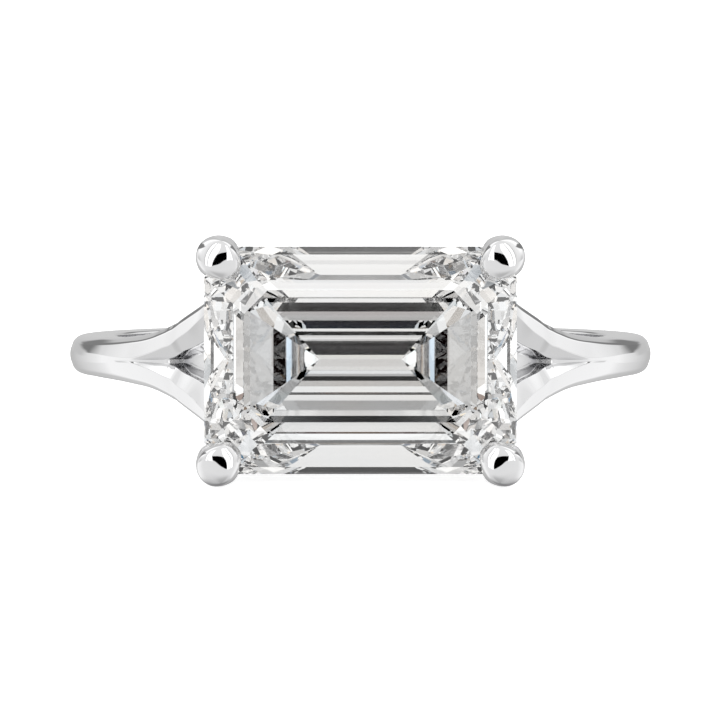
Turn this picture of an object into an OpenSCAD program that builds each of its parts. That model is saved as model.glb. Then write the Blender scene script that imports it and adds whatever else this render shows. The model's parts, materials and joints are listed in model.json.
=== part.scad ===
// Emerald cut engagement ring with a split shank and a four-claw head.
// Lengths are in millimetres and angles in degrees.
// Each piece is drawn upright: the finger hole runs along Y and the stone faces +Z.
// The finished ring is laid on its side, as it rests by itself, with the stone facing -Y.

/* [Band] */
// Inside diameter of the finger hole
finger_d = 17.3; // [16.9:0.1:17.7]
// Thickness of the band, from the finger to its outer face
band_t = 1.55; // [1.45:0.05:1.65]
// Width of the band along the finger
band_w = 1.35; // [1.25:0.05:1.4]
// Thickness of the bridge that closes the band under the stone
bridge_t = 0.6; // [0.5:0.05:0.65]

/* [Stone] */
// Length of the stone, across the finger
stone_l = 10.08; // [9.9:0.02:10.3]
// Width of the stone, along the finger
stone_w = 7.34; // [7.2:0.01:7.5]
// Leg of the cut corner on the girdle
corner_leg = 1.0; // [0.9:0.05:1.1]
// Height of the crown, from the girdle to the table
crown_h = 1.23; // [1.15:0.01:1.3]
// Thickness of the girdle
girdle_t = 0.2; // [0.15:0.05:0.3]
// Depth of the pavilion, from the girdle to the keel
pavilion_h = 3.945; // [3.8:0.005:4.05]
// Length of the keel line at the bottom of the stone
keel_l = 2.635; // [2.4:0.005:2.9]

/* [Head] */
// Room between the keel and the bridge below it
keel_room = 0.15; // [0.1:0.05:0.3]
// Gap that is left round the stone, where the claws hold it
seat_gap = 0.03; // [0.02:0.01:0.05]
// Distance of the stone's centre from the middle plane of the band
head_shift = 0.28; // [0:0.02:0.3]
// Depth of the rail's top below the girdle
rail_drop = 1.6; // [1.5:0.05:1.8]
// Height of the rail that joins the claws under the stone
rail_h = 0.5; // [0.4:0.05:0.6]
// Thickness of that rail, seen from above
rail_t = 0.42; // [0.35:0.01:0.45]

/* [Hidden] */

finger_r = finger_d / 2;
outer_r = finger_r + band_t;
bridge_r = finger_r + bridge_t;
half_l = stone_l / 2;
half_w = stone_w / 2;
girdle_z = bridge_r + keel_room + pavilion_h;
smooth = 96;

// The shoulder's sections, from the side of the ring (0 degrees) up to the head (90 degrees).
// One row is one section of the half beside the middle plane:
// angle, crest radius past the band's, crest half width, edge half width,
// edge drop below the crest, gap half width, gap edge drop, and the middle's share of the way
// from the crest down to the bridge.
SHOULDER = [
    [-90, 0, 0.15, 0.60, 0.36, 0.05, 0, 0],
    [5, 0, 0.15, 0.60, 0.36, 0.05, 0, 0],
    [13, 0, 0.15, 0.60, 0.36, 0.05, 0, 0],
    [20, 0, 0.16, 0.60, 0.36, 0.05, 0, 0],
    [27, 0, 0.15, 0.62, 0.36, 0.05, 0, 0],
    [33, 0, 0.11, 0.66, 0.36, 0.05, 0, 0],
    [40, 0, 0.08, 0.76, 0.36, 0.05, 0.01, 0.02],
    [42.5, 0, 0.14, 0.81, 0.36, 0.06, 0.07, 0.10],
    [45.5, 0, 0.26, 0.91, 0.36, 0.07, 0.17, 0.21],
    [48, 0, 0.39, 1.04, 0.36, 0.08, 0.26, 0.30],
    [49.5, 0, 0.48, 1.13, 0.36, 0.10, 0.31, 0.36],
    [50.2, 0, 0.51, 1.18, 0.36, 0.13, 0.33, 1],
    [51, 0, 0.55, 1.23, 0.36, 0.17, 0.34, 1],
    [53, 0, 0.78, 1.43, 0.36, 0.36, 0.35, 1],
    [55.5, 0.02, 1.03, 1.67, 0.37, 0.52, 0.38, 1],
    [58, 0.06, 1.37, 1.92, 0.38, 0.72, 0.40, 1],
    [60, 0.12, 1.65, 2.17, 0.40, 0.88, 0.42, 1],
    [63, 0.26, 2.10, 2.62, 0.42, 1.18, 0.44, 1],
    [66, 0.41, 2.50, 3.02, 0.44, 1.50, 0.46, 1],
    [68, 0.45, 2.60, 3.12, 0.46, 1.65, 0.48, 1],
    [71, -0.20, 2.10, 2.70, 0.46, 1.35, 0.48, 1],
    [75, -0.85, 0.85, 1.25, 0.10, 0.40, 0.02, 0.2],
    [90, -0.90, 0.50, 0.90, 0.10, 0.20, 0, 0],
];
CREST = 1;
CREST_Y = 2;
EDGE_Y = 3;
EDGE_DROP = 4;
GAP_Y = 5;
GAP_DROP = 6;
MIDDLE_SHARE = 7;

// Steps of the stone, from the table down to the last ring above the keel.
// One row is one outline: inset from the girdle at the ends, inset at the sides, leg of its
// cut corner, and share of the crown's height above the girdle or of the pavilion's depth
// below it.
CROWN = [
    [1.315, 1.373, 0.763, 1],
    [0.966, 1.051, 0.763, 0.921],
    [0.227, 0.251, 0.937, 0.267],
    [0, 0, corner_leg, 0],
];
PAVILION = [
    [0, 0, corner_leg, 0],
    [0.775, 1.074, 0.769, 0.455],
    [1.472, 1.650, 0.463, 0.631],
];
// What a cut corner's leg and the keel's depth gain where room is left round the stone, as
// shares of the room.
leg_gain = 2 - sqrt(2);
keel_gain = 1.6;

// The point under which a claw stands, inset from the end and from the side of the girdle.
CLAW_INSET = [0.55, 0.43];
// Outlines of a claw, from its root to its top, in the upright plane through the corner.
// One row is one outline: height from the top of the girdle, centre outwards from that point,
// half length outwards, and half width.
CLAW = [
    [-4.50, -0.93, 0.40, 0.42],
    [-2.80, -0.58, 0.38, 0.44],
    [-1.60, -0.27, 0.40, 0.54],
    [-0.40, 0.01, 0.55, 0.71],
    [0.05, 0.05, 0.63, 0.74],
    [0.40, 0.09, 0.73, 0.69],
    [0.72, 0.06, 0.79, 0.64],
    [0.96, 0.05, 0.74, 0.57],
    [1.12, 0.03, 0.60, 0.46],
    [1.22, 0.02, 0.36, 0.28],
];
claw_sides = 16;
claw_taper = 0.16;

// The rail's inset from the girdle and the leg of its cut corner.
rail_inset = 0.6;
rail_leg = 0.3;

// The bevel beside the crest: its far corner's distance from the edge, and its share of the
// edge's drop, on the plain band and where the shoulders are fully bevelled.
BAND_ROUND = [0.22, 0.45];
BEVEL_ROUND = [0.20, 0.40];
bevel_start = 5;
bevel_full = 40;
// Share of the gap's width at its foot, and how far an arm's foot lags behind its spread.
gap_foot = 0.6;
arm_lean = 0.25;
// How far the sections reach past the finger hole's wall, which is then cut true.
bore_excess = 0.3;

// The band's lowest edge and the claws' lowest points, on which the ring lies.
rest_r = outer_r - SHOULDER[0][EDGE_DROP];
claw_points = [for (row = CLAW, p = claw_outline(row)) [p[0], p[1] - head_shift, p[2]]];
tilt = max([for (p = claw_points) atan2(p[1] - band_w / 2, p[2] + rest_r)]);
lift = band_w / 2 * cos(tilt) + rest_r * sin(tilt);
// Its reach to the front and back of the finger hole's middle, and the shift that centres it.
front = max([for (p = claw_points) p[1] * sin(tilt) + p[2] * cos(tilt)]);
back = max([for (p = half_section(-90)) p[1] * sin(tilt) + p[0] * cos(tilt)]);
centring = (front - back) / 2;

function column(i) = [for (row = SHOULDER) [row[0], row[i]]];
function at(a, i) = lookup(a, column(i));

// Angles of the sections: the plain band in even steps, then each row and its middle.
function quarter_angles() = concat(
    [for (a = [-90:5:0]) a],
    [for (i = [1:len(SHOULDER) - 2]) each [SHOULDER[i][0], (SHOULDER[i][0] + SHOULDER[i + 1][0]) / 2]],
    [SHOULDER[len(SHOULDER) - 1][0]]
);

// Half of the section at one angle, from the middle of the outer side to the finger,
// as radius and width.
function half_section(a) =
    let (
        crest = outer_r + at(a, CREST),
        drop = at(a, EDGE_DROP),
        spread = at(a, EDGE_Y) - SHOULDER[0][EDGE_Y],
        w = band_w / 2 + spread,
        gap = at(a, GAP_Y),
        middle = crest - (crest - bridge_r) * at(a, MIDDLE_SHARE),
        t = min(1, max(0, (a - bevel_start) / (bevel_full - bevel_start))),
        bevel = BAND_ROUND * (1 - t) + BEVEL_ROUND * t
    )
    [
        [middle, 0],
        [middle, gap * gap_foot],
        [crest - at(a, GAP_DROP), gap],
        [crest, at(a, CREST_Y)],
        [crest - drop * bevel[1], w - bevel[0]],
        [crest - drop, w],
        [finger_r - bore_excess, w - spread * arm_lean],
    ];

function full_section(a) =
    let (half = half_section(a))
    concat(half, [for (i = [len(half) - 1:-1:1]) [half[i][0], -half[i][1]]]);

// A section point at one angle, on the left (side -1) or right (side 1) of the ring.
function around(p, a, side) = [side * p[0] * cos(a), p[1], p[0] * sin(a)];

// Joins rings of points of one size into a closed loop of faces.
function loop_faces(rings, n) = [
    for (i = [0:rings - 1], j = [0:n - 1])
        let (k = (j + 1) % n, next = (i + 1) % rings)
            each [[i * n + j, i * n + k, next * n + k], [i * n + j, next * n + k, next * n + j]]
];

// Joins stacked outlines of one size, and closes the first and the last.
function stack_faces(rings, n) = concat(
    [[for (j = [0:n - 1]) j]],
    [
        for (i = [0:rings - 2], j = [0:n - 1])
            let (k = (j + 1) % n)
                each [[i * n + j, (i + 1) * n + j, (i + 1) * n + k], [i * n + j, (i + 1) * n + k, i * n + k]]
    ],
    [[for (j = [n - 1:-1:0]) (rings - 1) * n + j]]
);

module shank() {
    angles = quarter_angles();
    last = len(angles) - 1;
    left = [for (i = [0:last]) [for (p = full_section(angles[i])) around(p, angles[i], -1)]];
    right = [for (i = [last - 1:-1:1]) [for (p = full_section(angles[i])) around(p, angles[i], 1)]];
    rings = concat(left, right);
    n = len(rings[0]);
    polyhedron([for (ring = rings) each ring], loop_faces(len(rings), n), convexity = 8);
}

// An eight-cornered outline, inset from the girdle, with its corners cut.
function outline(end_inset, side_inset, leg, z, grow) =
    let (
        l = half_l - end_inset + grow,
        w = half_w - side_inset + grow,
        c = leg + grow * leg_gain
    )
    [
        [l, w - c, z], [l - c, w, z], [c - l, w, z], [-l, w - c, z],
        [-l, c - w, z], [c - l, -w, z], [l - c, -w, z], [l, c - w, z],
    ];

// The stone, or the room that it needs when grow is more than 0.
module gem(grow) {
    crown_top = girdle_t + grow;
    rings = concat(
        [for (r = CROWN) outline(r[0], r[1], r[2], girdle_z + crown_top + crown_h * r[3], grow)],
        [for (r = PAVILION) outline(r[0], r[1], r[2], girdle_z - pavilion_h * r[3] - grow, grow)]
    );
    keel = [for (s = [1, -1]) [s * keel_l / 2, 0, girdle_z - pavilion_h - grow * keel_gain]];
    n = 8;
    base = (len(rings) - 1) * n;
    right = len(rings) * n;
    left = right + 1;
    walls = [
        for (i = [0:len(rings) - 2], j = [0:n - 1])
            let (k = (j + 1) % n) [i * n + j, i * n + k, (i + 1) * n + k, (i + 1) * n + j]
    ];
    bottom = [
        [base + 0, base + 1, right], [base + 1, base + 2, left, right],
        [base + 2, base + 3, left], [base + 3, base + 4, left],
        [base + 4, base + 5, left], [base + 5, base + 6, right, left],
        [base + 6, base + 7, right], [base + 7, base + 0, right],
    ];
    top = [[for (j = [n - 1:-1:0]) j]];
    translate([0, head_shift, 0])
        polyhedron(concat([for (ring = rings) each ring], keel), concat(top, walls, bottom), convexity = 2);
}

// One outline of the claw at the +X +Y corner: an egg with its narrow end over the stone.
function claw_outline(row) =
    let (
        corner = [half_l, half_w] - CLAW_INSET,
        z = girdle_z + girdle_t + row[0]
    )
    [
        for (i = [0:claw_sides - 1])
            let (
                t = 360 * i / claw_sides,
                u = row[1] + row[2] * cos(t),
                v = row[3] * (1 + claw_taper * cos(t)) * sin(t)
            )
            [corner[0] + (u - v) * sqrt(0.5), corner[1] + (u + v) * sqrt(0.5), z]
    ];

module claw() {
    polyhedron([for (row = CLAW) each claw_outline(row)], stack_faces(len(CLAW), claw_sides), convexity = 2);
}

// The rail under the girdle, an eight-cornered frame that the claws stand on.
module rail() {
    module frame(inset, h) {
        linear_extrude(height = h)
            polygon([for (p = outline(inset, inset, rail_leg, 0, 0)) [p[0], p[1]]]);
    }
    translate([0, 0, girdle_z - rail_drop - rail_h]) difference() {
        frame(rail_inset, rail_h);
        translate([0, 0, -rail_h]) frame(rail_inset + rail_t, 3 * rail_h);
    }
}

module lay_down() {
    translate([0, centring, lift]) rotate([90 - tilt, 0, 0]) children();
}

module mounting() {
    color("silver") lay_down() difference() {
        union() {
            shank();
            translate([0, head_shift, 0]) {
                rail();
                for (x = [0, 1], y = [0, 1]) mirror([x, 0, 0]) mirror([0, y, 0]) claw();
            }
        }
        rotate([90, 0, 0]) cylinder(h = stone_w + 2, r = finger_r, center = true, $fn = smooth);
        gem(seat_gap);
    }
}

module stone() {
    color("aliceblue") lay_down() gem(0);
}

mounting();
stone();
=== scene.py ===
"""Looks of the emerald cut ring: a smooth polished mounting and a clear step-cut stone.

Shapes are drawn upright in millimetres, as the part's source draws them: the finger hole
runs along Y and the stone faces +Z. `upright` then lays them down where the frame is.
"""

import json
import math

import bmesh
import bpy
import numpy as np
from mathutils import Matrix, Vector


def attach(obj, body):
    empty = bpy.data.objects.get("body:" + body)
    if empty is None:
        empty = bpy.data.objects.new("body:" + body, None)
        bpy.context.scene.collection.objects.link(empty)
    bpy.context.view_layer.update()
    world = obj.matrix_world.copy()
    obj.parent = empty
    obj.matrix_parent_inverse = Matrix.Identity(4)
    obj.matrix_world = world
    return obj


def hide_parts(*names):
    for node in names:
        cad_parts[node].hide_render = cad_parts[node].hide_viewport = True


MM = 0.001
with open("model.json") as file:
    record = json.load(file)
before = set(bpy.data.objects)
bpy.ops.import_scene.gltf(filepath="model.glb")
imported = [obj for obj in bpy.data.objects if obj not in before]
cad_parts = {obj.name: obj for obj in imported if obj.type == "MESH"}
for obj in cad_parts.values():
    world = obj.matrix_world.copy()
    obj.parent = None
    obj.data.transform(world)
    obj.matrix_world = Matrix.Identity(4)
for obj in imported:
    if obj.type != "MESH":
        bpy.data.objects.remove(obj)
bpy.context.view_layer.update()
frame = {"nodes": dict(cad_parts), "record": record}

# The frame: the finger hole says where the ring lies and how it leans.
hole = frame["record"]["mounts"][0]
hole_axis = Vector(hole["axis"]).normalized()
facing = Vector((1, 0, 0)).cross(hole_axis)
upright = Matrix.Translation(hole["pos_m"]) @ Matrix(
    (Vector((1, 0, 0)), hole_axis, facing)).transposed().to_4x4()

# Driving sizes, as in the part's source.
finger_r = hole["dims"]["r_mm"]
band_t = 1.55
band_w = 1.35
bridge_t = 0.6
stone_l, stone_w = 10.08, 7.34
corner_leg = 1.0
crown_h, girdle_t, pavilion_h = 1.23, 0.2, 3.945
keel_room, seat_gap, head_shift = 0.15, 0.03, 0.28
rail_drop, rail_h, rail_t, rail_inset, rail_leg = 1.6, 0.5, 0.42, 0.6, 0.3
outer_r = finger_r + band_t
bridge_r = finger_r + bridge_t
girdle_z = bridge_r + keel_room + pavilion_h
half_l, half_w = stone_l / 2, stone_w / 2

# The shoulder's sections: angle, crest radius past the band's, crest half width, edge half
# width, edge drop below the crest, gap half width, gap edge drop, and the middle's share of
# the way from the crest down to the bridge.
SHOULDER = np.array([
    [-90, 0, 0.15, 0.60, 0.36, 0.05, 0, 0],
    [5, 0, 0.15, 0.60, 0.36, 0.05, 0, 0],
    [13, 0, 0.15, 0.60, 0.36, 0.05, 0, 0],
    [20, 0, 0.16, 0.60, 0.36, 0.05, 0, 0],
    [27, 0, 0.15, 0.62, 0.36, 0.05, 0, 0],
    [33, 0, 0.11, 0.66, 0.36, 0.05, 0, 0],
    [40, 0, 0.08, 0.76, 0.36, 0.05, 0.01, 0.02],
    [42.5, 0, 0.14, 0.81, 0.36, 0.06, 0.07, 0.10],
    [45.5, 0, 0.26, 0.91, 0.36, 0.07, 0.17, 0.21],
    [48, 0, 0.39, 1.04, 0.36, 0.08, 0.26, 0.30],
    [49.5, 0, 0.48, 1.13, 0.36, 0.10, 0.31, 0.36],
    [50.2, 0, 0.51, 1.18, 0.36, 0.13, 0.33, 1],
    [51, 0, 0.55, 1.23, 0.36, 0.17, 0.34, 1],
    [53, 0, 0.78, 1.43, 0.36, 0.36, 0.35, 1],
    [55.5, 0.02, 1.03, 1.67, 0.37, 0.52, 0.38, 1],
    [58, 0.06, 1.37, 1.92, 0.38, 0.72, 0.40, 1],
    [60, 0.12, 1.65, 2.17, 0.40, 0.88, 0.42, 1],
    [63, 0.26, 2.10, 2.62, 0.42, 1.18, 0.44, 1],
    [66, 0.41, 2.50, 3.02, 0.44, 1.50, 0.46, 1],
    [68, 0.45, 2.60, 3.12, 0.46, 1.65, 0.48, 1],
    [71, -0.20, 2.10, 2.70, 0.46, 1.35, 0.48, 1],
    [75, -0.85, 0.85, 1.25, 0.10, 0.40, 0.02, 0.2],
    [90, -0.90, 0.50, 0.90, 0.10, 0.20, 0, 0],
])
# Where sections are drawn over a quarter of the ring: from and to which angle, and how many.
SECTION_RUNS = [(-90, 5, 60), (5, 48, 90), (48, 54, 40), (54, 75, 80), (75, 90, 16)]
LAST_ANGLE = 90
# The bevel beside the crest: its far corner's distance from the edge and its share of the
# edge's drop, on the plain band and where the shoulders are fully bevelled.
BAND_ROUND = np.array([0.22, 0.45])
BEVEL_ROUND = np.array([0.20, 0.40])
bevel_start, bevel_full = 5, 40
# Share of the gap's width at its foot, and how far an arm's foot lags behind its spread.
gap_foot, arm_lean = 0.6, 0.25
band_edge = SHOULDER[0, 3]
# Radii of the rounded edges, from the middle of the gap out to the bore.
MIDDLE_ROUND, FOOT_ROUND, RIDGE_ROUND, SIDE_ROUND, BORE_ROUND = 0.02, 0.09, 0.035, 0.22, 0.10
# An edge's arc has this many points, and its corner two more. It takes at most this share of
# a flat beside it, and the two more stand off its ends by this share of what it takes.
ARC = 5
CORNER = ARC + 2
ARC_SHARE = 0.42
HOLD = 0.35
# Nothing is divided by less than this.
NEVER_ZERO = 1e-9
# The outer face of the plain band is a dome of this depth and fullness, which gives way to
# the shoulders' facets between these two angles.
DOME_DEPTH, DOME_FULL = 0.6, 0.75
DOME_END = (19, 28)
# Points of the shank that are closer than this are one point.
POINT_GAP = 0.0005
# Edges that turn by more degrees than this stay sharp.
SHARP = 40

# The claw's outlines, from its root to where its dome starts: height from the girdle's top,
# centre outwards from the point under which it stands, half length outwards, half width.
CLAW = np.array([
    [-4.50, -0.93, 0.40, 0.42],
    [-2.80, -0.58, 0.38, 0.44],
    [-1.60, -0.27, 0.40, 0.54],
    [-0.40, 0.01, 0.55, 0.71],
    [0.05, 0.05, 0.63, 0.74],
    [0.40, 0.09, 0.73, 0.69],
    [0.72, 0.06, 0.79, 0.64],
])
# The point under which a claw stands, inset from the end and from the side of the girdle.
CLAW_INSET = np.array([0.55, 0.43])
# The dome's top, how far it leans outwards, and the powers of its outlines: 2 is round and
# more is blunter. Its tip stays just open, so that the last points don't fall together.
DOME_TOP, DOME_SHIFT = 1.22, -0.05
DOME_ALONG, DOME_ACROSS = 2.0, 3.6
TIP = 1e-5
# A claw keeps this share of its outlines, and is wider outwards by this share.
claw_scale, claw_taper = 0.985, 0.16
# Power of the sine across a claw's inner half, which makes it blunter towards the stone.
INNER_BLUNT = 0.75
CLAW_SIDES = 72
# How many outlines are drawn below and above this height, and over the dome.
CLAW_BREAK = -0.5
LOW_RINGS, HIGH_RINGS, DOME_RINGS = 26, 30, 31

# Radius of the rail's edges, and the points on each one's arc.
RAIL_ROUND, RAIL_ARC = 0.12, 7

# The stone's outlines: inset from the girdle at the ends and at the sides, leg of the cut
# corner, and share of the crown's height or of the pavilion's depth.
CROWN = [(1.315, 1.373, 0.763, 1), (0.966, 1.051, 0.763, 0.921), (0.227, 0.251, 0.937, 0.267),
         (0, 0, corner_leg, 0)]
PAVILION = [(0, 0, corner_leg, 0), (0.775, 1.074, 0.769, 0.455), (1.472, 1.650, 0.463, 0.631)]


def smooth_through(xs, ys, at):
    """Values at `at` on a smooth curve through the rows that never overshoots them."""
    xs, ys = np.asarray(xs, float), np.asarray(ys, float)
    h = np.diff(xs)
    d = np.diff(ys, axis=0) / h[:, None]
    m = np.zeros_like(ys)
    a, b = d[:-1], d[1:]
    w1, w2 = (2 * h[1:] + h[:-1])[:, None], (h[1:] + 2 * h[:-1])[:, None]
    same = a * b > 0
    m[1:-1] = np.where(
        same, (w1 + w2) / (w1 / np.where(same, a, 1) + w2 / np.where(same, b, 1)), 0)
    i = np.clip(np.searchsorted(xs, at, side="right") - 1, 0, len(xs) - 2)
    t = ((at - xs[i]) / h[i])[:, None]
    hh = h[i][:, None]
    return ((2 * t**3 - 3 * t**2 + 1) * ys[i] + (t**3 - 2 * t**2 + t) * hh * m[i]
            + (3 * t**2 - 2 * t**3) * ys[i + 1] + (t**3 - t**2) * hh * m[i + 1])


def shade_smooth(mesh):
    """Smooth faces, with the edges that turn far kept sharp."""
    mesh.polygons.foreach_set("use_smooth", [True] * len(mesh.polygons))
    mesh.set_sharp_from_angle(angle=math.radians(SHARP))


def mesh_object(name, points, faces):
    """A piece from upright points in millimetres, laid down in the frame's metres."""
    mesh = bpy.data.meshes.new(name)
    mesh.from_pydata([tuple(p) for p in np.asarray(points) * MM], [], [tuple(f) for f in faces])
    mesh.transform(upright)
    mesh.update()
    mesh.validate()
    obj = bpy.data.objects.new(name, mesh)
    bpy.context.scene.collection.objects.link(obj)
    return obj


def loop_faces(rings, n, closed):
    """Quads between neighbouring rings of n points; closed joins the last to the first."""
    i = np.arange(rings if closed else rings - 1)[:, None]
    j = np.arange(n)[None]
    k, nxt = (j + 1) % n, (i + 1) % rings
    return np.stack([i * n + j, i * n + k, nxt * n + k, nxt * n + j], -1).reshape(-1, 4)


def capped_faces(rings, n):
    """Quads between neighbouring rings of n points, and a face over each end."""
    faces = [tuple(f) for f in loop_faces(rings, n, False)]
    return faces + [tuple(range(n))[::-1], tuple((rings - 1) * n + j for j in range(n))]


def rounded(corners, radii, arc):
    """An outline with its corners rounded, as one row of points of a fixed number.

    Each corner turns on an arc of `arc` points, and a point close to each end of the
    arc keeps the flats between the corners flat when they are shaded smooth."""
    corners = np.asarray(corners, float)
    n = len(corners)
    rows = []
    for i in range(n):
        p, a, b = corners[i], corners[i - 1], corners[(i + 1) % n]
        da, db = np.linalg.norm(a - p), np.linalg.norm(b - p)
        ua, ub = (a - p) / max(da, NEVER_ZERO), (b - p) / max(db, NEVER_ZERO)
        half = math.acos(float(np.clip(ua @ ub, -1, 1))) / 2
        reach = radii[i] / max(math.tan(half), NEVER_ZERO)
        reach = min(reach, ARC_SHARE * da, ARC_SHARE * db)
        start, end = p + ua * reach, p + ub * reach
        rows.append(p + ua * reach * (1 + HOLD))
        for s in range(arc):
            t = s / (arc - 1)
            rows.append((1 - t) ** 2 * start + 2 * t * (1 - t) * p + t**2 * end)
        rows.append(p + ub * reach * (1 + HOLD))
    return np.array(rows)


def section(row):
    """One section as radius and width, rounded, all the way round."""
    angle, crest_past, crest_y, edge_y, edge_drop, gap_y, gap_drop, middle_share = row
    crest = outer_r + crest_past
    middle = crest - (crest - bridge_r) * middle_share
    spread = edge_y - band_edge
    w = band_w / 2 + spread
    t = min(1, max(0, (angle - bevel_start) / (bevel_full - bevel_start)))
    inset, share = BAND_ROUND * (1 - t) + BEVEL_ROUND * t
    inner_w = w - spread * arm_lean
    half = [
        (middle, 0, MIDDLE_ROUND),
        (middle, gap_y * gap_foot, FOOT_ROUND),
        (crest - gap_drop, gap_y, RIDGE_ROUND),
        (crest, crest_y, RIDGE_ROUND),
        (crest - edge_drop * share, w - inset, SIDE_ROUND),
        (crest - edge_drop, w, SIDE_ROUND),
        (finger_r, inner_w, BORE_ROUND),
    ]
    full = half + [(r, -y, c) for r, y, c in half[:0:-1]]
    points = rounded([(r, y) for r, y, _ in full], [c for _, _, c in full], ARC)
    low, high = DOME_END
    f = min(1, max(0, (angle - low) / (high - low)))
    f = f * f * (3 - 2 * f)
    if f < 1:
        points = domed(points, crest, w) * (1 - f) + points * f
    return points


def dome_at(turn, crest, w):
    """A point of the dome, by its turn from the middle to the side."""
    return crest - DOME_DEPTH * (1 - max(0, math.cos(turn)) ** DOME_FULL), w * math.sin(turn)


def domed(points, crest, w):
    """The section with its outer face as one smooth dome from side to side."""
    result, n = points.copy(), len(points)
    edge = range(5 * CORNER, 6 * CORNER)
    for i in range(CORNER // 2, edge.start):
        turn = math.asin(min(1, points[i][1] / w))
        result[i] = dome_at(turn, crest, w)
    start = math.asin(result[edge.start - 1][1] / w)
    for j, i in enumerate(edge, 1):
        turn = start + (math.pi / 2 - start) * j / CORNER
        result[i] = dome_at(turn, crest, w)
    for i in range(CORNER // 2, edge.stop):
        result[(CORNER - 1 - i) % n] = result[i] * (1, -1)
    return result


def shank():
    quarter = np.concatenate([np.linspace(low, high, count, endpoint=high == LAST_ANGLE)
                              for low, high, count in SECTION_RUNS])
    rows = smooth_through(SHOULDER[:, 0], SHOULDER[:, 1:], quarter)
    sections = [section((a, *row)) for a, row in zip(quarter, rows)]
    rings = [(a, -1, s) for a, s in zip(quarter, sections)]
    rings += [(a, 1, s) for a, s in zip(quarter[-2:0:-1], sections[-2:0:-1])]
    points = []
    for a, side, s in rings:
        c, z = math.cos(math.radians(a)), math.sin(math.radians(a))
        points.append(np.stack([side * s[:, 0] * c, s[:, 1], s[:, 0] * z], 1))
    n = len(points[0])
    obj = mesh_object("shank", np.concatenate(points), loop_faces(len(points), n, True))
    # Where the gap is closed, the points of its corners fall together.
    merged = bmesh.new()
    merged.from_mesh(obj.data)
    bmesh.ops.dissolve_degenerate(merged, edges=merged.edges[:], dist=POINT_GAP * MM)
    merged.to_mesh(obj.data)
    merged.free()
    shade_smooth(obj.data)
    return obj


def outline(end_inset, side_inset, leg, grow=0.0):
    """The stone's eight-sided outline, inset from the girdle and grown again all round."""
    l, w = half_l - end_inset + grow, half_w - side_inset + grow
    c = leg + grow * (2 - math.sqrt(2))
    return np.array([(l, w - c), (l - c, w), (c - l, w), (-l, w - c),
                     (-l, c - w), (c - l, -w), (l - c, -w), (l, c - w)])


def claw_points(x_side, y_side):
    """Rings of one claw: its stem up to the last row, and a flat dome above it."""
    stem = np.concatenate([np.linspace(CLAW[0, 0], CLAW_BREAK, LOW_RINGS, endpoint=False),
                           np.linspace(CLAW_BREAK, CLAW[-1, 0], HIGH_RINGS)])
    rings = [(z, *row) for z, row in zip(stem, smooth_through(CLAW[:, 0], CLAW[:, 1:], stem))]
    foot, u_foot, hl_foot, hw_foot = rings[-1]
    for turn in np.radians(np.linspace(0, 90, DOME_RINGS + 1)[1:]):
        rise = math.sin(turn)
        along, across = (max(1 - rise**power, TIP) ** (1 / power)
                         for power in (DOME_ALONG, DOME_ACROSS))
        rings.append((foot + (DOME_TOP - foot) * rise, u_foot + DOME_SHIFT * rise,
                      hl_foot * along, hw_foot * across))
    t = 2 * np.pi * np.arange(CLAW_SIDES) / CLAW_SIDES
    blunt = np.where(np.cos(t) < 0, INNER_BLUNT, 1)
    corner = np.array([half_l, half_w]) - CLAW_INSET
    result = []
    for z, u0, hl, hw in rings:
        u = u0 + hl * claw_scale * np.cos(t)
        v = (hw * claw_scale * (1 + claw_taper * np.cos(t))
             * np.sign(np.sin(t)) * abs(np.sin(t)) ** blunt)
        x, y = corner[0] + (u - v) * math.sqrt(0.5), corner[1] + (u + v) * math.sqrt(0.5)
        result.append(np.stack([x * x_side, y * y_side + head_shift,
                                np.full_like(x, girdle_z + girdle_t + z)], 1))
    return result


def claw(name, x_side, y_side):
    rings = claw_points(x_side, y_side)
    faces = capped_faces(len(rings), CLAW_SIDES)
    if x_side * y_side < 0:
        faces = [f[::-1] for f in faces]
    return mesh_object(name, np.concatenate(rings), faces)


def rail():
    middle = rail_inset + rail_t / 2
    path = outline(middle, middle, rail_leg)
    n = len(path)
    z_mid, h, t = girdle_z - rail_drop - rail_h / 2, rail_h / 2, rail_t / 2
    corners = [(t, -h), (t, h), (-t, h), (-t, -h)]
    ring_section = rounded(corners, [RAIL_ROUND] * len(corners), RAIL_ARC)
    points = []
    for i in range(n):
        p, a, b = path[i], path[i - 1], path[(i + 1) % n]
        da, db = (p - a) / np.linalg.norm(p - a), (b - p) / np.linalg.norm(b - p)
        normal = np.array([da[1] + db[1], -da[0] - db[0]])
        normal /= np.linalg.norm(normal)
        stretch = 1 / (normal @ np.array([da[1], -da[0]]))
        for s, z in ring_section:
            q = p - normal * s * stretch
            points.append((q[0], q[1] + head_shift, z_mid + z))
    return mesh_object("rail", points, loop_faces(n, len(ring_section), True))


def stone_room():
    """The stone's shape grown by the gap, as a cutter for the claws and the rail."""
    top, bottom = girdle_z + girdle_t + seat_gap, girdle_z - seat_gap
    rings = [(outline(*row, seat_gap), top + crown_h * share) for *row, share in CROWN]
    rings += [(outline(*row, seat_gap), bottom - pavilion_h * share) for *row, share in PAVILION]
    points = [(x, y + head_shift, z) for ring, z in rings for x, y in ring]
    faces = capped_faces(len(rings), len(rings[0][0]))
    return mesh_object("stone_room", points, [f[::-1] for f in faces])


def cut(obj, cutter):
    """Takes the cutter's shape out of a piece, for good."""
    modifier = obj.modifiers.new("seat", "BOOLEAN")
    modifier.operation, modifier.object, modifier.solver = "DIFFERENCE", cutter, "EXACT"
    graph = bpy.context.evaluated_depsgraph_get()
    mesh = bpy.data.meshes.new_from_object(obj.evaluated_get(graph))
    obj.modifiers.clear()
    obj.data = mesh
    mesh.name = obj.name
    shade_smooth(mesh)


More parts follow.
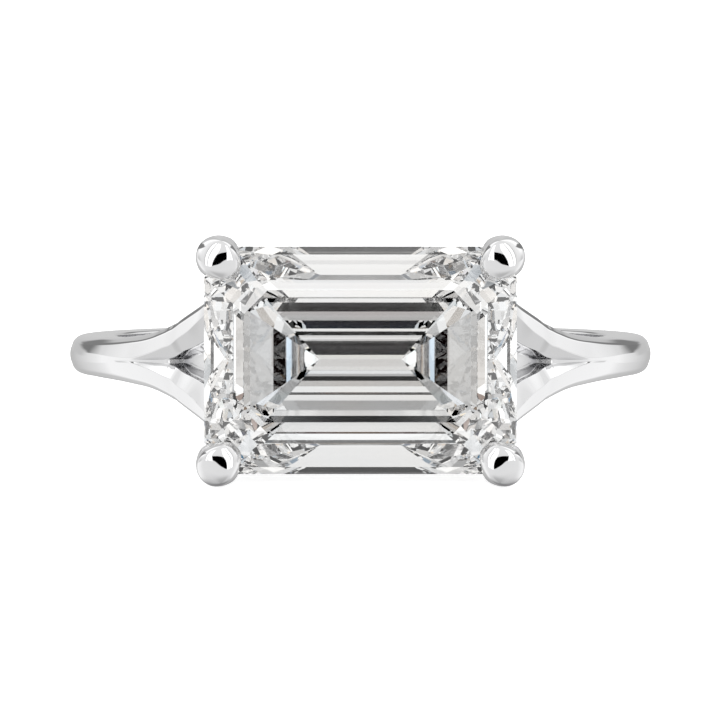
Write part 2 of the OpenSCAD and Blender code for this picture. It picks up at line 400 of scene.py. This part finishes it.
def map_range(tree, value, low, high, to_low=0, to_high=1, kind="LINEAR"):
    """A value's way from low to high as a way between two other numbers, and held there."""
    node = tree.nodes.new("ShaderNodeMapRange")
    node.interpolation_type = kind
    tree.links.new(value, node.inputs["Value"])
    for socket, number in (("From Min", low), ("From Max", high),
                           ("To Min", to_low), ("To Max", to_high)):
        node.inputs[socket].default_value = number
    return node.outputs["Result"]


def mix_colours(tree, share, low, high):
    """Two colours mixed by share; each is red, green and blue, or the output of a node."""
    node = tree.nodes.new("ShaderNodeMix")
    node.data_type = "RGBA"
    tree.links.new(share, node.inputs["Factor"])
    sockets = [s for s in node.inputs if s.type == "RGBA"]
    for socket, value in zip(sockets, (low, high)):
        if isinstance(value, tuple):
            socket.default_value = (*value, 1)
        else:
            tree.links.new(value, socket)
    return [s for s in node.outputs if s.type == "RGBA"][0]


def noise(tree, per_metre, detail):
    """A noise that stays with the piece, mostly between the two numbers of NOISE_SPAN."""
    node = tree.nodes.new("ShaderNodeTexNoise")
    node.inputs["Scale"].default_value = per_metre
    node.inputs["Detail"].default_value = detail
    place = tree.nodes.new("ShaderNodeTexCoord").outputs["Object"]
    tree.links.new(place, node.inputs["Vector"])
    return node.outputs["Fac"]


NOISE_SPAN = (0.35, 0.65)
# The metal's own colour, and the darker colour painted in as shade where other metal is near.
OPEN_METAL, PAINTED_SHADE_METAL = (0.84, 0.84, 0.845), (0.42, 0.42, 0.43)
# How near other metal has to be for the colour to darken as painted shade in corners and gaps, in
# millimetres, the samples that look for it, and the span of openness over which the painted shade
# fades to the metal's own colour.
SHADE_REACH, SHADE_SAMPLES, SHADE_SPAN = 0.5, 8, (0.30, 0.85)
# Noises by their spots per metre and detail.
POLISH, POLISH_ROUGHNESS = (900, 2), (0.03, 0.06)
BUFFING, BUFFING_STRENGTH, BUFFING_DEPTH = (1400, 3), 0.04, 0.02
DRIFT, WARM_STONE, COOL_STONE = (350, 1), (1.0, 0.985, 0.96), (0.985, 0.995, 1.0)
DIAMOND_IOR = 2.417


def new_material(name):
    """A new material, its nodes and its shader."""
    material = bpy.data.materials.new(name)
    material.use_nodes = True
    return material, material.node_tree, material.node_tree.nodes["Principled BSDF"]


def polished_metal():
    """White metal: a bright polish with faint buffing marks, and painted shade that darkens its
    colour in corners and gaps.
    """
    material, tree, shader = new_material("polished_white_metal")
    # Painted shade: the base colour turns darker where other metal is near, in corners, gaps and
    # at the claws' feet.
    corner = tree.nodes.new("ShaderNodeAmbientOcclusion")
    corner.inputs["Distance"].default_value = SHADE_REACH * MM
    corner.samples = SHADE_SAMPLES
    unshaded_share = map_range(tree, corner.outputs["AO"], *SHADE_SPAN)
    tree.links.new(mix_colours(tree, unshaded_share, PAINTED_SHADE_METAL, OPEN_METAL),
                   shader.inputs["Base Color"])
    shader.inputs["Metallic"].default_value = 1
    tree.links.new(map_range(tree, noise(tree, *POLISH), *NOISE_SPAN, *POLISH_ROUGHNESS),
                   shader.inputs["Roughness"])
    buffing = tree.nodes.new("ShaderNodeBump")
    buffing.inputs["Strength"].default_value = BUFFING_STRENGTH
    buffing.inputs["Distance"].default_value = BUFFING_DEPTH * MM
    tree.links.new(noise(tree, *BUFFING), buffing.inputs["Height"])
    tree.links.new(buffing.outputs["Normal"], shader.inputs["Normal"])
    return material


def clear_stone():
    """A clear stone, with a trace of warmth and of blue that drifts through it."""
    material, tree, shader = new_material("clear_diamond")
    drift = map_range(tree, noise(tree, *DRIFT), *NOISE_SPAN)
    tree.links.new(mix_colours(tree, drift, WARM_STONE, COOL_STONE), shader.inputs["Base Color"])
    shader.inputs["Roughness"].default_value = 0
    shader.inputs["IOR"].default_value = DIAMOND_IOR
    shader.inputs["Transmission Weight"].default_value = 1
    return material


metal, diamond = polished_metal(), clear_stone()
cutter = stone_room()
pieces = [shank(), rail()]
cut(pieces[1], cutter)
for name, x_side, y_side in (("claw_upper_right", 1, 1), ("claw_upper_left", -1, 1),
                             ("claw_lower_left", -1, -1), ("claw_lower_right", 1, -1)):
    piece = claw(name, x_side, y_side)
    cut(piece, cutter)
    pieces.append(piece)
bpy.data.objects.remove(cutter)
for piece in pieces:
    piece.data.materials.clear()
    piece.data.materials.append(metal)
    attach(piece, "root")
    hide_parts("mounting")
stone = frame["nodes"]["stone"]
for material_slot in stone.material_slots:
    material_slot.material = diamond

# The floor: white paper that glows a little, and that neither the metal nor the stone sees.
FLOOR_SIZE = 4
PAPER, PAPER_ROUGHNESS, PAPER_GLOW = (0.9, 0.9, 0.9), 0.9, 0.75
WHITE = (1, 1, 1)
bpy.ops.mesh.primitive_plane_add(size=FLOOR_SIZE, location=(0, 0, 0))
floor = bpy.context.object
floor.name = "floor"
floor.visible_glossy = floor.visible_transmission = False
paper, _, shader = new_material("white_paper")
shader.inputs["Base Color"].default_value = (*PAPER, 1)
shader.inputs["Roughness"].default_value = PAPER_ROUGHNESS
shader.inputs["Emission Color"].default_value = (*WHITE, 1)
shader.inputs["Emission Strength"].default_value = PAPER_GLOW
floor.data.materials.append(paper)

# The camera: its degrees above the stone's facing, its distance in metres, how far it aims
# below and to the left of the ring's middle in millimetres, and the picture's scale.
ABOVE_FACING, DISTANCE = 2.28, 0.160
AIM_BELOW, AIM_LEFT = 0.245, 0.014
PICTURE, PIXELS_PER_MM, SENSOR = 720, 28.4, 36
NEAREST, FARTHEST = 0.005, 10
height = math.asin(hole_axis.y) + math.radians(ABOVE_FACING)
target = Vector(hole["pos_m"]) - hole_axis * AIM_BELOW * MM - Vector((AIM_LEFT, 0, 0)) * MM
to_camera = Vector((0, -math.cos(height), math.sin(height)))
camera_data = bpy.data.cameras.new("camera")
camera = bpy.data.objects.new("camera", camera_data)
bpy.context.scene.collection.objects.link(camera)
camera.location = target + to_camera * DISTANCE
camera.rotation_euler = (-to_camera).to_track_quat("-Z", "Y").to_euler()
camera_data.sensor_width = SENSOR
camera_data.lens = SENSOR * DISTANCE / (PICTURE / PIXELS_PER_MM * MM)
camera_data.clip_start = NEAREST
camera_data.clip_end = FARTHEST
camera_data.dof.use_dof = False
bpy.context.scene.camera = camera

world = bpy.data.worlds.new("studio")
bpy.context.scene.world = world
world.use_nodes = True
studio = world.node_tree
nodes, links = studio.nodes, studio.links


def op(kind, *values):
    """The result of one math node on sockets and plain numbers."""
    node = nodes.new("ShaderNodeMath")
    node.operation = kind
    for socket, value in zip(node.inputs, values):
        if isinstance(value, (int, float)):
            socket.default_value = value
        else:
            links.new(value, socket)
    return node.outputs[0]


def rising(value, at, soft):
    """0 below `at` and 1 above it, blurred by `soft` to each side."""
    return map_range(studio, value, at - soft, at + soft, kind="SMOOTHSTEP")


def falling(value, at, soft):
    return op("SUBTRACT", 1, rising(value, at, soft))


def within(value, low, high, soft):
    return op("MULTIPLY", rising(value, low, soft), falling(value, high, soft))


def mixed(share, low, high):
    """Two lights mixed by share."""
    return op("MULTIPLY_ADD", share, op("SUBTRACT", high, low), low)


def card(under, light, across, span, soft):
    """A card or flag over the light `under`: a mask across, and its span in elevation."""
    return mixed(op("MULTIPLY", across, within(elevation, *span, soft)), under, light)


def profile(value, stops):
    """Light by angle, straight between the stops. The curve's own heights are halves."""
    node = nodes.new("ShaderNodeFloatCurve")
    curve = node.mapping.curves[0]
    low, high = stops[0][0], stops[-1][0]
    points = [((a - low) / (high - low), v / 2) for a, v in stops]
    curve.points[0].location, curve.points[1].location = points[0], points[-1]
    for point in points[1:-1]:
        curve.points.new(*point)
    for point in curve.points:
        point.handle_type = "VECTOR"
    node.mapping.update()
    links.new(map_range(studio, value, low, high), node.inputs["Value"])
    return op("MULTIPLY", node.outputs[0], 2)


def along(axis):
    """How far the direction of a ray points along an axis, from -1 to 1."""
    node = nodes.new("ShaderNodeVectorMath")
    node.operation = "DOT_PRODUCT"
    links.new(direction, node.inputs[0])
    node.inputs[1].default_value = axis
    return node.outputs["Value"]


def squared(value):
    return op("MULTIPLY", value, value)


# Directions: degrees from the front to either side, degrees above the floor, how far towards
# the stone's facing and up the finger hole's axis, and the climb along that axis in degrees.
direction = nodes.new("ShaderNodeTexCoord").outputs["Generated"]
split = nodes.new("ShaderNodeSeparateXYZ")
links.new(direction, split.inputs[0])
right, back, up = split.outputs
aside = op("ABSOLUTE", op("DEGREES", op("ARCTAN2", right, op("MULTIPLY", back, -1))))
elevation = op("DEGREES", op("ARCSINE", up))
toward, rise = along(facing), along(hole_axis)
climb = op("DEGREES", op("ARCSINE", rise))

# The metal's studio, as light by degrees aside: walls at the skyline and higher up, a table,
# and what is under it. The climbs at which one gives way to the next stand below them, each
# with its blur.
SKYLINE = [(0, 0.85), (60, 0.86), (78, 0.84), (88, 0.72), (102, 0.68), (112, 0.79), (124, 0.93),
           (137, 0.83), (145, 0.60), (160, 0.58), (180, 0.62)]
WALLS = [(0, 0.90), (54, 0.89), (64, 1.01), (70, 0.99), (85, 1.15), (102, 1.35), (112, 1.30),
         (120, 1.00), (128, 0.74), (145, 0.60), (160, 0.66), (180, 0.72)]
TABLE = [(0, 0.85), (60, 0.88), (85, 1.00), (112, 1.07), (122, 1.07), (128, 0.95), (137, 0.83),
         (145, 0.72), (160, 0.55), (180, 0.50)]
UNDER_TABLE = [(0, 0.53), (20, 0.56), (29, 0.64), (44, 0.73), (70, 0.74), (105, 0.72),
               (135, 0.50), (180, 0.45)]
SKYLINE_TO_WALLS, TABLE_TO_SKYLINE, UNDER_TO_TABLE = (17, 15), (0, 1), (-44, 16)
walls = mixed(rising(climb, *SKYLINE_TO_WALLS), profile(aside, SKYLINE), profile(aside, WALLS))
metal_light = mixed(rising(climb, *TABLE_TO_SKYLINE), profile(aside, TABLE), walls)
metal_light = mixed(rising(climb, *UNDER_TO_TABLE), profile(aside, UNDER_TABLE), metal_light)

# A dark beam slants down from the sides to the back, with a darker foot behind. Each has its
# light, its span across the slant with its blur, where it ends or starts aside, and its span
# in elevation.
SLANT = 0.53
BEAM, BEAM_ACROSS, BEAM_END, BEAM_SPAN = 0.24, (83, 99, 2), (159, 4), (5, 42)
FOOT, FOOT_ACROSS, FOOT_START, FOOT_SPAN = 0.22, (79, 85, 1.5), (138, 3), (2, 20)
BEAM_SOFT = 2
slanting = op("MULTIPLY_ADD", aside, SLANT, elevation)
beam = op("MULTIPLY", within(slanting, *BEAM_ACROSS), falling(aside, *BEAM_END))
foot = op("MULTIPLY", within(slanting, *FOOT_ACROSS), rising(aside, *FOOT_START))
metal_light = card(metal_light, BEAM, beam, BEAM_SPAN, BEAM_SOFT)
metal_light = card(metal_light, FOOT, foot, FOOT_SPAN, BEAM_SOFT)

# Tall white cards beside the dark gap that the camera looks through, with thin grey gaps
# between them: light, degrees aside, and degrees above the floor.
FRONT_CARDS = [(1.5, (15, 47), (-2, 60)), (0.4, (32, 34.5), (-2, 60)),
               (0.4, (47, 49.5), (-2, 60)), (0.0, (-1, 14), (0, 20))]
CARD_SOFT = 0.7
for level, across, span in FRONT_CARDS:
    metal_light = card(metal_light, level, within(aside, *across, CARD_SOFT), span, CARD_SOFT)

# The stone's own light, for rays that have passed through it: softboxes and dark flags by their
# angle from the way that the stone faces, in one row overhead, one below and one at the sides.
OVERHEAD = [(0, 0.95), (9, 0.9), (10, 0), (12, 0), (14, 0.85),
            (18, 0.7), (22, 0.95), (25, 0.95), (26, 0.6), (30, 0.55), (36, 0.9), (42, 0.7),
            (47, 0.1), (49.5, 0.1), (51, 1.1), (54, 0.6), (63, 0.85), (76, 0.9), (77.5, 0.1),
            (79, 0.1), (81, 1.5), (87, 0.6), (90, 0.6), (93, 0.3), (99, 0.55), (111, 0.7),
            (119.5, 1.25), (120.8, 0), (124.8, 0), (127, 0.4), (132, 1), (140, 0), (143, 0),
            (147, 0.35), (156, 0.5), (168, 0), (174, 0.25), (180, 0.25)]
BELOW = [(0, 0.9), (2, 0), (9.5, 0), (12, 0.85), (15, 1.3), (20, 0.95), (22.5, 0.95), (24, 0.1),
         (33, 1.4), (39, 1.1), (42, 1.4), (47, 0.6), (49, 0.05), (57, 0.05), (60, 0.8),
         (63, 0.65), (66, 0.2), (69, 0.55), (75, 0.6), (81, 1.1), (90, 1), (93, 0.65), (96, 0),
         (102, 0), (108, 0.6), (111, 1.05), (114, 0.95), (126, 0.5), (129, 0.5), (138, 1.1),
         (150, 0.95), (156, 0.5), (159, 0.5), (162, 0.95), (180, 1)]
BESIDE = [(0, 1.15), (3, 0.95), (6, 1.5), (9, 1.5), (18, 0.75), (22.5, 0.65), (23.7, 0),
          (25.5, 0), (27, 1), (33, 1.35), (39, 0.55), (45, 1.05), (57, 1.5), (69, 1.05),
          (72, 1.3), (75, 1.35), (78, 0.2), (79.5, 0), (81.5, 0), (84, 0.6), (87, 1.05),
          (93, 0.7), (97, 0.7), (99, 0.5), (102, 1.5), (108, 0.7), (113, 0.35), (115, 0.35),
          (117, 1.4), (119.5, 1.3), (121, 0.1), (122.5, 0.1), (124, 0.7), (126, 0.7),
          (132, 1.05), (141, 0.75), (153, 1.4), (162, 1.5), (171, 1.1), (180, 1.05)]
# A flag overhead that is too thin for the curve, as its two angles and its blur.
THIN_FLAG = (6.95, 7.85, 0.12)
# Degrees by which the stone spreads red and blue from green, and times as much at the sides.
FIRE, SIDE_FIRE = 0.12, 2.5
OVERHEAD_SOFT = 0.01
# A little more than 1, so that nothing is divided by zero straight ahead.
SURE_ONE = 1.0001
off_facing = op("DEGREES", op("ARCCOSINE", toward))
upright_share = op("DIVIDE", squared(rise), op("SUBTRACT", SURE_ONE, squared(toward)))
overhead = rising(rise, 0, OVERHEAD_SOFT)
colours = nodes.new("ShaderNodeCombineColor")
for channel, shift in zip(colours.inputs, (-FIRE, 0, FIRE)):
    angle = op("ADD", off_facing, shift)
    thin_flag = op("SUBTRACT", 1, within(angle, *THIN_FLAG))
    top_light = op("MULTIPLY", profile(angle, OVERHEAD), thin_flag)
    upright_light = mixed(overhead, profile(angle, BELOW), top_light)
    side_light = profile(op("ADD", off_facing, shift * SIDE_FIRE), BESIDE)
    links.new(mixed(upright_share, side_light, upright_light), channel)

# Rays from the stone see its own light, the camera sees white, and the rest see the studio.
light_path = nodes.new("ShaderNodeLightPath")
light = mix_colours(studio, light_path.outputs["Is Transmission Ray"], metal_light,
                    colours.outputs[0])
light = mix_colours(studio, light_path.outputs["Is Camera Ray"], light, WHITE)
links.new(light, nodes["Background"].inputs["Color"])

CLEAR_BOUNCES, GLOSSY_BOUNCES = 32, 16
scene = bpy.context.scene
scene.view_settings.view_transform = "Standard"
scene.cycles.max_bounces = CLEAR_BOUNCES
scene.cycles.transmission_bounces = CLEAR_BOUNCES
scene.cycles.glossy_bounces = GLOSSY_BOUNCES

bpy.context.view_layer.update()
